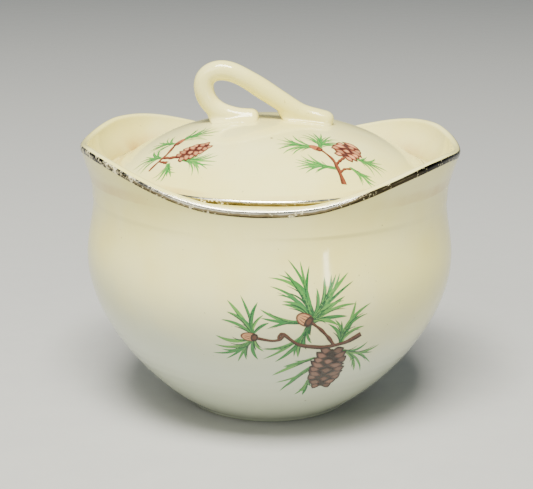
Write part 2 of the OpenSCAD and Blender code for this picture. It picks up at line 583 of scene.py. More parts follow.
@dataclass(frozen=True)
class Bend:
    """A cubic Bezier curve in the plane of radius and height, from one end to the other."""

    start: Place
    pull_start: Place
    pull_end: Place
    end: Place

    def at(self, t: Array) -> Array:
        """Points of the curve: its ends and pulls weighed by the cubic Bernstein shares.

        Args:
            t: shares of the curve, 0 at its start and 1 at its end.

        Returns:
            Radius and height at each share.
        """
        t = np.asarray(t, float)[..., None]
        a, b, c, d = map(np.array, (self.start, self.pull_start, self.pull_end, self.end))
        return (1 - t) ** 3 * a + 3 * t * (1 - t) ** 2 * b + 3 * t * t * (1 - t) * c + t**3 * d

    def speed(self, t: Array) -> Array:
        """The curve's rate of change: the differences of its ends and pulls, weighed likewise.

        Args:
            t: shares of the curve.

        Returns:
            Change of radius and height with t.
        """
        t = np.asarray(t, float)[..., None]
        a, b, c, d = map(np.array, (self.start, self.pull_start, self.pull_end, self.end))
        return 3 * (1 - t) ** 2 * (b - a) + 6 * t * (1 - t) * (c - b) + 3 * t * t * (d - c)

    def along(self, t: Array) -> Array:
        """The curve's direction at shares t, of length one."""
        run = self.speed(t)
        return run / np.linalg.norm(run, axis=-1, keepdims=True)

    def inside(self, t: Array, depth: Array) -> Array:
        """Points inside the curve: each moves square to it, towards the axis, by a depth.

        Args:
            t: shares of the curve.
            depth: the depth at each share.

        Returns:
            Radius and height of each point.
        """
        run = self.along(t)
        normal = np.stack([-run[..., 1], run[..., 0]], -1)
        return self.at(t) + np.asarray(depth, float)[..., None] * normal

    def share_at_height(self, height: Array) -> Array:
        """The share t at which a curve that only climbs reaches a height."""
        t = np.linspace(0, 1, 400)
        return np.interp(height, self.at(t)[:, 1], t)


def around(profile: Array, angles: Array) -> Array:
    """Carries a profile round the axis.

    Args:
        profile: radius and height, as rows of two, or one such list for each angle.
        angles: angles in radians, counted from the front, growing towards +X.

    Returns:
        A grid of points with one row for each angle.
    """
    profile = np.broadcast_to(profile, (len(angles), *profile.shape[-2:]))
    radius, height = profile[..., 0], profile[..., 1]
    turn = angles[:, None]
    return np.stack([radius * np.sin(turn), -radius * np.cos(turn), height], -1)


def travelled(places: Array) -> Array:
    """Distance along a line of places, from its start, for each of them."""
    steps = np.linalg.norm(np.diff(places, axis=0), axis=-1)
    return np.concatenate([[0], np.cumsum(steps)])


def arc(centre: Place, radius: float, start: float, end: float, count: int) -> Array:
    """Points on an arc in the profile plane, from one angle in degrees to another."""
    turn = np.radians(np.linspace(start, end, count))
    return np.stack([centre[0] + radius * np.cos(turn), centre[1] + radius * np.sin(turn)], -1)


def line(start: Place, end: Place, count: int) -> Array:
    """Evenly spaced points from one place in the profile plane to another."""
    return np.linspace(start, end, count)


def relaxed(places: Array, passes: int) -> Array:
    """Smooths a line of places: a pass moves each inner one halfway to its neighbours' middle.

    Args:
        places: the line, one place to a row.
        passes: how often it is done.

    Returns:
        The smoother line, with its ends where they were.
    """
    smoother = places.copy()
    for _ in range(passes):
        smoother[1:-1] = 0.5 * smoother[1:-1] + 0.25 * (smoother[:-2] + smoother[2:])
    return smoother


def film_section(face: Array, film: float) -> Array:
    """Outlines a film on a face: every point moves square to the line of its neighbours.

    The front stands off the face by the film. Its two edges and its back lie just under the
    glaze, so that no gap shows.

    Args:
        face: profile points along the face, for one section or for many.
        film: how far the front stands off.

    Returns:
        The closed outline of each section.
    """
    run = np.gradient(face, axis=-2)
    run /= np.linalg.norm(run, axis=-1, keepdims=True)
    outward = np.stack([-run[..., 1], run[..., 0]], -1)
    lift = np.full(face.shape[-2], film)
    lift[[0, -1]] = -FILM_EDGE_SINK
    front = face + outward * lift[:, None]
    back = face - outward * FILM_BACK_SINK
    return np.concatenate([front, back[..., ::-1, :]], -2)


def wander(angles: Array, seed: int, waves: int = 9) -> Array:
    """A smooth closed wobble about zero, mostly within one: sines with random phases.

    Args:
        angles: where to work it out, in radians.
        seed: which wobble.
        waves: how many sines, each with one more wave round the circle than the last.

    Returns:
        The wobble at each angle.
    """
    draw = np.random.default_rng(seed)
    count = np.arange(2, 2 + waves)
    phase = draw.uniform(0, 2 * np.pi, waves)
    size = draw.uniform(0.4, 1.0, waves) / np.sqrt(waves)
    return (size * np.sin(angles[..., None] * count + phase)).sum(-1)


# ---------------------------------------------------------------------------------------------
# The bowl
# ---------------------------------------------------------------------------------------------


@dataclass
class Bowl:
    """The bowl: foot, belly, neck, flared rim with two wings, and the ledge for the lid."""

    neck_r: float = 53.0
    neck_h: float = 63.6
    belly_r: float = 55.1
    belly_h: float = 46.0
    rim_r: float = 56.6
    ledge_h: float = 70.1
    rim_low_h: float = 71.8
    wing_rise: float = 9.2
    wing_x: float = 51.2
    wing_power: float = 1.42
    tip_dip: float = 1.8
    tip_power: float = 1.6
    mouth_r: float = 41.5
    ledge_t: float = 3.3
    wall: float = 4.2
    neck_wall: float = 3.6
    rim_wall: float = 2.4
    foot_r: float = 26.0
    foot_w: float = 3.5
    foot_recess: float = 1.8
    crest_h: float = 1.1
    columns: int = 336
    line_w: float = 0.95
    foot_curve: Bend = field(init=False)
    neck_curve: Bend = field(init=False)
    rim_curve: Bend = field(init=False)

    def __post_init__(self) -> None:
        """Draws the three curves of the outline."""
        drop = self.neck_h - self.belly_h
        self.foot_curve = Bend(
            (self.foot_r, 1), (self.foot_r + 11, 8.3),
            (self.belly_r, self.belly_h * 0.58), (self.belly_r, self.belly_h),
        )
        self.neck_curve = Bend(
            (self.belly_r, self.belly_h), (self.belly_r, self.belly_h + drop * 0.37),
            (self.neck_r, self.neck_h - drop * 0.34), (self.neck_r, self.neck_h),
        )
        self.rim_curve = Bend(
            (self.neck_r, self.neck_h), (self.neck_r - 0.1, self.neck_h + 8.6),
            (self.rim_r - 0.8, self.neck_h + 10.4), (self.rim_r, self.neck_h + 18.5),
        )

    def crest(self, angles: Array) -> Array:
        """Height of the rim at each angle.

        The rise over the front and back low points is a sine squared of the distance x from
        the middle plane raised to a power, up to the wings' peaks; past the peaks it dips
        towards the side tips.

        Args:
            angles: angles round the bowl.

        Returns:
            A height for each.
        """
        x = np.abs(self.rim_r * np.sin(angles))
        climb = np.clip(x / self.wing_x, 0, 1) ** self.wing_power
        rise = self.wing_rise * np.sin(np.pi / 2 * climb) ** 2
        past = np.clip((x - self.wing_x) / (self.rim_r - self.wing_x), 0, 1)
        return self.rim_low_h + rise - self.tip_dip * past**self.tip_power

    def swell(self, angles: Array, height: Array) -> Array:
        """How far the outer face stands proud of a true round: the casting's slight unevenness.

        Two slow waves round the belly, and fine rings low on the body.

        Args:
            angles: angles round the bowl.
            height: a height for each.

        Returns:
            How far the face is moved outwards at each.
        """
        slow = 0.10 * np.sin(3 * angles + 0.7 + height / 40) + 0.06 * np.sin(5 * angles + 2.1)
        rings = 0.035 * np.sin(height * 1.9 + 0.5 * np.sin(2 * angles)) * np.exp(
            -(((height - 21) / 9) ** 2)
        )
        fade = smooth(height, 3, 16) * (1 - smooth(height, 60, 70))
        return (slow + rings - 0.16) * fade

    def outer(self, curve: Bend, t: Array, angles: Array) -> Array:
        """Profile points of the outer face along one curve, moved out by the unevenness.

        Args:
            curve: the foot's or the neck's curve.
            t: shares of it.
            angles: angles round the bowl.

        Returns:
            Profile points, one list for each angle.
        """
        points = np.array(curve.at(t), float)
        points = np.broadcast_to(points, (len(angles), *points.shape[-2:])).copy()
        points[..., 0] += self.swell(angles[:, None], points[..., 1])
        return points

    def crest_share(self, angles: Array) -> Array:
        """The share of the rim curve at which the rounding of the crest starts."""
        return self.rim_curve.share_at_height(self.crest(angles) - self.crest_h)

    def crest_arc(self, angles: Array, turn: Array) -> Array:
        """The rounded crest: half an ellipse over the wall, from outside to inside.

        Args:
            angles: angles round the bowl.
            turn: places on the half ellipse in radians, 0 outside and pi inside: the same
                for every angle, or a row for each.

        Returns:
            Profile points, one list for each angle.
        """
        t = self.crest_share(angles)[:, None]
        edge = self.rim_curve.at(t)
        run = self.rim_curve.along(t)
        inward = np.stack([-run[..., 1], run[..., 0]], -1)
        across = (self.rim_wall / 2 * (1 - np.cos(turn)))[..., None]
        up = (self.crest_h * np.sin(turn))[..., None]
        return edge + across * inward + up * run

    def profile(self, angles: Array) -> Array:
        """The whole closed outline, from the middle under the foot round to the floor's middle.

        The foot and the ledge are arcs and straight lines, the outer face follows the three
        curves, and the inner face lies a wall's thickness inside them.

        Args:
            angles: angles round the bowl.

        Returns:
            Profile points, one list for each angle.
        """
        recess = self.foot_recess
        ring_in = self.foot_r - self.foot_w
        foot = np.concatenate([
            line((0, recess), (ring_in - 1.6, recess), 8),
            arc((ring_in - 1.6, recess - 0.6), 0.6, 90, 20, 5),
            arc((ring_in + 0.3, 0.5), 0.5, 200, 270, 5),
            arc((self.foot_r - 1.2, 1.2), 1.2, -90, -38, 7),
        ])
        low = np.linspace(0, 1, 60) ** 1.15
        middle = np.linspace(0, 1, 26)[1:]
        top = self.crest_share(angles)
        climb = top[:, None] * np.linspace(0, 1, 30)[None, 1:]
        rim = self.rim_curve.at(climb)
        crest = self.crest_arc(angles, np.linspace(0, np.pi, 17)[1:])
        ledge_share = float(self.rim_curve.share_at_height(self.ledge_h + 0.2))
        fall = np.linspace(0, 1, 24)[None, 1:]
        t = top[:, None] + fall * (ledge_share - top[:, None])
        depth = self.rim_wall + (self.neck_wall - self.rim_wall) * fall**2
        inner_rim = self.rim_curve.inside(t, np.broadcast_to(depth, t.shape))
        corner = inner_rim[0, -1]
        foot_of_wall = np.concatenate([
            arc((corner[0] - 0.9, self.ledge_h + 0.85), 0.85, -20, -90, 6),
            line((corner[0] - 1.6, self.ledge_h), (self.mouth_r + 0.8, self.ledge_h), 6),
            arc((self.mouth_r + 0.7, self.ledge_h - 0.7), 0.7, 100, 180, 6),
            arc((self.mouth_r + 1.0, self.ledge_h - self.ledge_t + 1.0), 1.0, 180, 245, 6),
        ])
        under = self.neck_curve.inside(np.linspace(0.7, 0.0, 18), np.full(18, self.wall))
        inner = self.foot_curve.inside(np.linspace(1, 0.03, 50), np.full(50, self.wall))
        floor_h = inner[-1, 1] - 0.5
        floor = np.linspace(inner[-1], (0, floor_h), 12)[1:]
        floor[:, 1] = floor_h + (inner[-1, 1] - floor_h) * (floor[:, 0] / inner[-1, 0]) ** 3
        parts = [
            foot, self.outer(self.foot_curve, low, angles),
            self.outer(self.neck_curve, middle, angles), rim, crest, inner_rim,
            foot_of_wall, under, inner[1:], floor,
        ]
        full = [np.broadcast_to(part, (len(angles), *part.shape[-2:])) for part in parts]
        return np.concatenate(full, 1)

    def build(self, finish: bpy.types.Material) -> bpy.types.Object:
        """Makes the bowl, which stands for the frame's bowl.

        Args:
            finish: the glaze.

        Returns:
            The piece.
        """
        angles = np.linspace(0, 2 * np.pi, self.columns, endpoint=False)
        piece = closed_surface(
            "bowl_glazed", around(self.profile(angles), angles), (True, False)
        )
        mark(piece, "brown_tint", self.brown_tint)
        mark(piece, "bare", self.bare)
        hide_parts("bowl")
        dress(piece, finish, Body.BOWL)
        return piece

    def brown_tint(self, x: Array, y: Array, z: Array) -> Array:
        """Brown tint in the crevice round the lid: deepest on the ledge, fading up the inner wall,
        strongest behind the lid beside the wings.

        Args:
            x: places along the wings.
            y: places from front to back.
            z: heights.

        Returns:
            How brown the glaze is at each, from 0 to 1.
        """
        radius = np.hypot(x, y)
        angle = np.arctan2(x, -y)
        inside = smooth(radius, self.mouth_r + 2, self.mouth_r + 6)
        inside = inside * (1 - smooth(radius, self.rim_r - 2.4, self.rim_r - 1.6))
        deep = 1 - smooth(z, self.ledge_h + 0.8, self.ledge_h + 7.5)
        on_ledge = smooth(z, self.ledge_h - 0.4, self.ledge_h - 0.1)
        uneven = 0.72 + 0.28 * np.clip(wander(angle, 11), -1, 1)
        wings = 0.22 + 0.50 * smooth(np.abs(x), 26, 44)
        mouth = 0.35 * on_ledge * (1 - smooth(radius, self.mouth_r, self.mouth_r + 2))
        return inside * deep * on_ledge * uneven * wings + mouth

    def bare(self, x: Array, y: Array, z: Array) -> Array:
        """Marks the foot ring's ground face, where there is no glaze.

        Args:
            x: places along the wings.
            y: places from front to back.
            z: heights.

        Returns:
            1 on the ground face and 0 elsewhere.
        """
        radius = np.hypot(x, y)
        ring = smooth(radius, self.foot_r - self.foot_w - 0.9, self.foot_r - self.foot_w)
        ring = ring * (1 - smooth(radius, self.foot_r - 1.2, self.foot_r - 0.8))
        return ring * (1 - smooth(z, 0.1, 0.3))


@dataclass
class RimLine:
    """The metal line on the rim: it wraps the crest's outer shoulder and ends below it."""

    bowl: Bowl
    film: float = 0.05
    columns: int = 540

    def build(self, finish: bpy.types.Material) -> bpy.types.Object:
        """Makes the line as a thin closed ring, which stands for the frame's rim line.

        Each section runs from the shoulder of the crest down the flare.

        Args:
            finish: the metal.

        Returns:
            The piece.
        """
        angles = np.linspace(0, 2 * np.pi, self.columns, endpoint=False)
        shoulder = np.radians(52 + 7 * wander(angles, 21, 16))
        crest = self.bowl.crest_arc(angles, shoulder[:, None] * np.linspace(1, 0, 9)[:-1])
        start = self.bowl.crest_share(angles)
        width = self.bowl.line_w * (1 + 0.10 * wander(angles, 22, 24))
        reach = width[:, None] * np.linspace(0, 1, 10)[None, :]
        pace = np.linalg.norm(self.bowl.rim_curve.speed(start), axis=-1)[:, None]
        flare = self.bowl.rim_curve.at(np.clip(start[:, None] - reach / pace, 0, 1))
        section = film_section(np.concatenate([crest, flare], 1), self.film)
        piece = closed_surface("rim_metal_line", around(section, angles), (True, True))
        mark(piece, "wear", self.wear)
        mark(piece, "edge", self.edge)
        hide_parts("rim_lustre_line")
        dress(piece, finish, Body.BOWL)
        return piece

    def edge(self, x: Array, y: Array, z: Array) -> Array:
        """Share of the way down the line, 0 at the crest and 1 at its lower edge: the metal's colour
        goes from painted highlight to painted dark reflection along it.
        """
        top = self.bowl.crest(np.arctan2(x, -y)) - 0.15
        return np.clip((top - z) / (self.bowl.line_w + self.bowl.crest_h - 0.15), 0, 1)

    @staticmethod
    def wear(x: Array, y: Array, z: Array) -> Array:
        """How rubbed the metal is: most on the left wing, a little everywhere."""
        left = smooth(-x, 14, 44) * smooth(-y, -30, 4)
        return 0.12 + 0.88 * left


# ---------------------------------------------------------------------------------------------
# The lid
# ---------------------------------------------------------------------------------------------


@dataclass
class Lid:
    """The lid: a dome with a rolled edge, a flange on the ledge and a skirt in the mouth."""

    lid_r: float = 46.4
    flange_bottom: float = 70.4
    edge_top: float = 72.2
    dome_r: float = 44.9
    dome_base: float = 72.9
    dome_top: float = 86.1
    dome_power: float = 2.5
    groove_r: float = 42.3
    groove_w: float = 1.1
    groove_depth: float = 0.22
    edge_roll: float = 0.75
    edge_drop: float = 0.35
    skirt_r: float = 40.5
    skirt_inner_r: float = 37.0
    skirt_depth: float = 6.3
    lid_wall: float = 4.0
    columns: int = 300

    def dome(self, radius: Array) -> Array:
        """Height of the dome: its rise times one less the radius share to a power.

        A soft bell-shaped groove that sets off the rolled edge is taken away from it.

        Args:
            radius: distances from the axis.

        Returns:
            A height for each.
        """
        share = np.clip(radius / self.dome_r, 0, 1)
        groove = self.groove_depth * np.exp(-(((radius - self.groove_r) / self.groove_w) ** 2))
        rise = self.dome_top - self.dome_base
        return self.dome_base + rise * (1 - share**self.dome_power) - groove

    def slope(self, radius: Array) -> Array:
        """Fall of the dome for each millimetre outwards, the groove left out.

        Args:
            radius: distances from the axis.

        Returns:
            The fall at each.
        """
        share = np.clip(radius / self.dome_r, 0, 1)
        rise = self.dome_top - self.dome_base
        return rise * self.dome_power / self.dome_r * share ** (self.dome_power - 1)

    def profile(self) -> Array:
        """The closed outline, from the dome's middle over the edge and back to its underside.

        Returns:
            Profile points.
        """
        out = self.dome_r * np.sin(np.linspace(0, np.pi / 2, 110))
        dome = np.stack([out, self.dome(out)], -1)
        low = self.flange_bottom
        bottom = low - self.skirt_depth
        groove = np.array([
            (self.dome_r + 0.10, self.dome_base - 0.07), (self.dome_r + 0.26, self.dome_base - 0.22),
        ])
        under = np.linspace(self.skirt_inner_r - 1.2, 0, 34)
        hollow = np.stack([under, self.dome(under) - self.lid_wall], -1)
        return np.concatenate([
            dome, groove,
            arc((self.lid_r - self.edge_roll, self.edge_top - self.edge_drop), self.edge_roll,
                78, 0, 8),
            arc((self.lid_r - 0.5, low + 0.5), 0.5, 0, -90, 6),
            line((self.lid_r - 1.2, low), (self.skirt_r + 0.6, low), 5),
            arc((self.skirt_r + 0.5, low - 0.5), 0.5, 100, 180, 5),
            line((self.skirt_r, low - 1.2), (self.skirt_r - 0.1, bottom + 1.2), 6),
            arc((self.skirt_r - 1.0, bottom + 0.9), 0.9, 0, -90, 6),
            arc((self.skirt_inner_r + 0.8, bottom + 0.8), 0.8, -90, -180, 6),
            line((self.skirt_inner_r, bottom + 1.2), (self.skirt_inner_r, low + 0.6), 6),
            hollow,
        ])

    def build(self, finish: bpy.types.Material) -> bpy.types.Object:
        """Makes the lid, which stands for the frame's lid.

        Args:
            finish: the glaze.

        Returns:
            The piece.
        """
        angles = np.linspace(0, 2 * np.pi, self.columns, endpoint=False)
        piece = closed_surface("lid_glazed", around(self.profile(), angles), (True, False))
        mark(piece, "brown_tint", self.brown_tint)
        mark(piece, "bare", self.bare)
        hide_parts("lid")
        dress(piece, finish, Body.LID)
        return piece

    def brown_tint(self, x: Array, y: Array, z: Array) -> Array:
        """Faint browning along the edge, and in a soft bell shape round each of the handle's feet.

        Args:
            x: places along the wings.
            y: places from front to back.
            z: heights.

        Returns:
            How brown the glaze is at each, from 0 to 1.
        """
        radius = np.hypot(x, y)
        uneven = 0.34 + 0.3 * np.clip(wander(np.arctan2(x, -y), 31), -1, 1)
        edge = smooth(radius, self.dome_r - 1.5, self.dome_r - 0.3) * uneven
        right_foot = 0.30 * np.exp(-(((x - 15) / 6.5) ** 2) - ((y / 4.4) ** 2))
        left_foot = 0.26 * np.exp(-(((x + 12) / 8.5) ** 2) - ((y / 4.6) ** 2))
        return np.where(z > self.flange_bottom + 0.8, edge + right_foot + left_foot, 0.12)

    def bare(self, x: Array, y: Array, z: Array) -> Array:
        """Marks the flange's underside, where there is no glaze.

        Args:
            x: places along the wings.
            y: places from front to back.
            z: heights.

        Returns:
            1 on the flange's underside and 0 elsewhere.
        """
        radius = np.hypot(x, y)
        flange = smooth(radius, self.skirt_r + 0.3, self.skirt_r + 0.8)
        flange = flange * (1 - smooth(radius, self.lid_r - 0.9, self.lid_r - 0.5))
        return flange * (1 - smooth(z, self.flange_bottom + 0.1, self.flange_bottom + 0.4))


@dataclass
class LidLine:
    """The metal line round the lid's edge."""

    lid: Lid
    film: float = 0.06
    columns: int = 420

    def build(self, finish: bpy.types.Material) -> bpy.types.Object:
        """Makes the line as a thin closed ring, which stands for the frame's line on the lid.

        Each section runs over the rolled edge and down the lid's side.

        Args:
            finish: the metal.

        Returns:
            The piece.
        """
        angles = np.linspace(0, 2 * np.pi, self.columns, endpoint=False)
        lid = self.lid
        middle = (lid.lid_r - lid.edge_roll, lid.edge_top - lid.edge_drop)
        rolled = arc(middle, lid.edge_roll, 62, 0, 9)
        side = line((lid.lid_r, lid.edge_top - 0.5), (lid.lid_r, lid.flange_bottom + 0.6), 6)
        section = film_section(np.concatenate([rolled, side]), self.film)
        full = np.broadcast_to(section, (self.columns, *section.shape)).copy()
        full[..., 1] += 0.05 * wander(angles, 41, 20)[:, None] * (full[..., 1] > lid.edge_top)
        piece = closed_surface("lid_metal_line", around(full, angles), (True, True))
        mark(piece, "wear", lambda x, y, z: 0.2 + 0.2 * smooth(-x, 10, 40))
        # The edge mark turns the metal from a painted highlight at the top of this line to a painted
        # dark reflection at its foot.
        mark(piece, "edge", lambda x, y, z: np.clip((self.lid.edge_top + 0.3 - z) / 1.6, 0, 1))
        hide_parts("lid_lustre_line")
        dress(piece, finish, Body.LID)
        return piece


@dataclass
class Handle:
    """The rolled clay strap on the lid, which climbs from its right foot and curls to the left."""

    lid: Lid
    strap_r: float = 2.9
    samples: int = 260
    sides: int = 72
    route: tuple[Place, ...] = (
        (18.4, 84.9), (16.6, 85.6), (13.8, 86.4), (9.1, 87.8), (6.1, 89.4), (3.1, 91.35),
        (-2.8, 95.1), (-5.8, 96.95), (-8.8, 98.6), (-11.8, 99.8), (-14.7, 100.2),
        (-17.4, 99.55), (-19.3, 97.8), (-19.9, 95.2), (-19.1, 92.1), (-17.1, 89.4),
        (-14.1, 87.4), (-10.4, 86.35), (-7.0, 86.1), (-3.4, 86.1),
    )

    def centre_line(self) -> Array:
        """Gives the strap's middle line: a Catmull-Rom curve through the route, smoothed.

        Returns:
            Places in the plane of x and z, at even distances.
        """
        route = np.array(self.route)
        padded = np.concatenate([[2 * route[0] - route[1]], route, [2 * route[-1] - route[-2]]])
        t = np.linspace(0, 1, 24, endpoint=False)[None, :, None]
        a, b, c, d = padded[:-3, None], padded[1:-2, None], padded[2:-1, None], padded[3:, None]
        fine = 0.5 * (2 * b + (c - a) * t + (2 * a - 5 * b + 4 * c - d) * t**2
                      + (3 * b - a - 3 * c + d) * t**3)
        fine = np.concatenate([fine.reshape(-1, 2), route[-1:]])
        fine = relaxed(fine, 30)
        length = travelled(fine)
        even = np.linspace(0, length[-1], self.samples)
        return np.stack([np.interp(even, length, fine[:, k]) for k in range(2)], -1)

    def grid(self) -> Array:
        """Works out the strap's skin: a round section carried along the middle line.

        The section swells and thins a little along the roll, closes in rounded ends, spreads
        where it is pressed on the dome, and flares out into the dome as a fillet of slip.

        Returns:
            A grid of points, a section to a row.
        """
        middle = self.centre_line()
        length = travelled(middle)
        run = np.gradient(middle, length, axis=0)
        run /= np.linalg.norm(run, axis=-1, keepdims=True)
        total = length[-1]
        hand = 1 + 0.020 * np.sin(length / 3.1 + 1) + 0.014 * np.sin(length / 1.7)
        full = self._rounded(length, 3.0, 2.3) * self._rounded(total - length, 2.7, 2.5)
        radius = self.strap_r * hand * full
        turn = np.linspace(0, 2 * np.pi, self.sides, endpoint=False)[None, :]
        side = radius[:, None] * np.sin(turn)
        rise = radius[:, None] * np.cos(turn)
        x = middle[:, None, 0] - run[:, None, 1] * rise
        z = middle[:, None, 1] + run[:, None, 0] * rise
        left = smooth(length, total * 0.55, total * 0.65)
        reach = (1.4 + 1.1 * left) * np.sqrt(full)
        return self._settle(x, side, z, reach[:, None], np.cos(turn) * run[:, None, 0])

    @staticmethod
    def _rounded(distance: Array, reach: float, power: float) -> Array:
        """Tells how thick a rounded end is, as a share of the full thickness.

        Args:
            distance: how far from the end.
            reach: where the full thickness starts.
            power: 2 for a round end, more for a blunter one.

        Returns:
            The share at each distance.
        """
        left = np.clip(1 - distance / reach, 0, 1)
        return (1 - left**power) ** (1 / power)

    def _settle(self, x: Array, y: Array, z: Array, reach: Array, upward: Array) -> Array:
        """Lets the skin meet the dome in a fillet of slip.

        Under the strap the skin is drawn down wherever it hangs close over the dome. At its
        sides it moves outwards by the reach times the square of how near the dome it is.

        Args:
            x: places along the lid.
            y: places across the strap.
            z: heights.
            reach: how far the slip spreads at each section.
            upward: how much each point of a section faces up, from -1 to 1.

        Returns:
            The points of the settled skin.
        """
        above = z - self.lid.dome(np.hypot(x, y))
        under = smooth(-upward, 0.05, 0.75) * (1 - smooth(above, 1.2, 2.8))
        above = above * (1 - under) - 0.3 * under
        tall = 0.75 * reach + 0.4
        near = 1 - np.clip(above, 0, None) / tall
        flare = reach * np.clip(near, 0, 1) ** 3.6 * smooth(np.abs(y), 0.1, 1.8)
        moved = y + np.sign(np.round(y, 4)) * flare
        above = np.maximum(above, -0.3)
        close = 1 - smooth(above, 2.2, 4.0)
        settled = self.lid.dome(np.hypot(x, moved)) + above
        return np.stack([x, moved, z * (1 - close) + settled * close], -1)

    def build(self, finish: bpy.types.Material) -> bpy.types.Object:
        """Makes the handle, which stands for the frame's lid handle.

        Args:
            finish: the glaze.

        Returns:
            The piece.
        """
        piece = closed_surface("lid_handle_rolled", self.grid(), (False, True))
        mark(piece, "brown_tint", self.brown_tint)
        mark(piece, "bare", lambda x, y, z: np.zeros_like(x))
        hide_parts("lid_handle")
        dress(piece, finish, Body.LID)
        return piece

    def brown_tint(self, x: Array, y: Array, z: Array) -> Array:
        """Glaze pooled slightly browner where the strap meets the dome."""
        above = z - self.lid.dome(np.hypot(x, y))
        return 0.12 * (1 - smooth(above, 0.1, 2.0)) + 0.10 * (1 - smooth(z, 92, 97))


# ---------------------------------------------------------------------------------------------
# Printed sprigs
# ---------------------------------------------------------------------------------------------


class Skin(Protocol):
    """A face of the object that a print lies on."""

    def lay(self, across: Array, up: Array, lift: Array) -> Array:
        """Lays a print's places on the face.

        Args:
            across: places across the print.
            up: places up it.
            lift: how high each lies over the face.

        Returns:
            Points in the frame's axes.
        """


@dataclass
class BowlSkin:
    """The bowl's outer face round one angle and height: across is round it, up is along it."""

    bowl: Bowl
    angle: float
    height: float

    def lay(self, across: Array, up: Array, lift: Array) -> Array:
        """Follows the outline by its length from the print's middle, then turns by across.

        Args:
            across: places across the print.
            up: places up it.
            lift: how high each lies over the face.

        Returns:
            Points in the frame's axes.
        """
        t = np.linspace(0, 1, 500)
        outline = np.concatenate([
            self.bowl.foot_curve.at(t), self.bowl.neck_curve.at(t)[1:], self.bowl.rim_curve.at(t)[1:]
        ])
        length = travelled(outline)
        run = np.gradient(outline, length, axis=0)
        middle = np.interp(self.height, outline[:, 1], length)
        place = middle + up
        radius, height, run_r, run_z = (
            np.interp(place, length, values) for values in (*outline.T, *run.T)
        )
        angle = np.radians(self.angle) + across / radius
        radius = radius + self.bowl.swell(angle, height) + run_z * lift
        height = height - run_r * lift
        return np.stack([radius * np.sin(angle), -radius * np.cos(angle), height], -1)


@dataclass
class LidSkin:
    """The lid's dome seen from above, round one place on it."""

    lid: Lid
    middle: Place

    def lay(self, across: Array, up: Array, lift: Array) -> Array:
        """Drops each place straight down on the dome, then lifts it square to the dome.

        Args:
            across: places across the print.
            up: places up it.
            lift: how high each lies over the face.

        Returns:
            Points in the frame's axes.
        """
        x = self.middle[0] + across
        y = self.middle[1] + up
        radius = np.hypot(x, y)
        slope = self.lid.slope(radius)
        tilt = 1 / np.sqrt(1 + slope**2)
        out = slope * tilt * lift / np.maximum(radius, 1e-6)
        return np.stack([x + x * out, y + y * out, self.lid.dome(radius) + tilt * lift], -1)


@dataclass(frozen=True)
class Inks:
    """The colours of one print: needles, twigs, buds and the scales of the cones."""

    leaf_pale: Colour = linear(112, 172, 70)
    leaf: Colour = linear(42, 124, 56)
    leaf_dark: Colour = linear(6, 62, 38)
    bark: Colour = linear(92, 50, 32)
    bark_dark: Colour = linear(40, 18, 12)
    bud: Colour = linear(204, 148, 100)
    scale: Colour = linear(66, 38, 30)
    scale_light: Colour = linear(128, 90, 74)
    scale_dark: Colour = linear(30, 9, 4)


@dataclass(frozen=True)
class Lifts:
    """How high each layer of ink lies over the glaze, and how much each stroke adds."""

    blade: float = 0.030
    shade: float = 0.032
    each_blade: float = 0.0009
    twig: float = 0.064
    cone: float = 0.068
    bud: float = 0.074
    scale: float = 0.076
    each_row: float = 0.004
    each_scale: float = 0.0012
    crease: float = 0.084
    cap: float = 0.092


LIFTS = Lifts()


@dataclass(frozen=True)
class Tuft:
    """Needles from one place on a twig.

    Attributes:
        place: where they spring from.
        axis: the way the tuft points, in degrees; needles curl away from it.
        needles: heading in degrees and length in millimetres of each.
        dark: whether they are strokes of the dark ink alone.
    """

    place: Place
    axis: float
    needles: tuple[tuple[float, float], ...]
    dark: bool = False


@dataclass(frozen=True)
class Cone:
    """A pine cone: the middle of its base, the way it points, its length and width."""

    base: Place
    heading: float
    length: float
    width: float
    rows: int = 9
    across: int = 3
    taper: float = 1.0


@dataclass(frozen=True)
class Bud:
    """A bud at a twig's end: the place of its cap, the way it points, its length and width."""

    base: Place
    heading: float
    length: float
    width: float


@dataclass(frozen=True)
class Twig:
    """A twig along a few places, with its thickness at the start and at the end."""

    places: tuple[Place, ...]
    thick: float
    thin: float


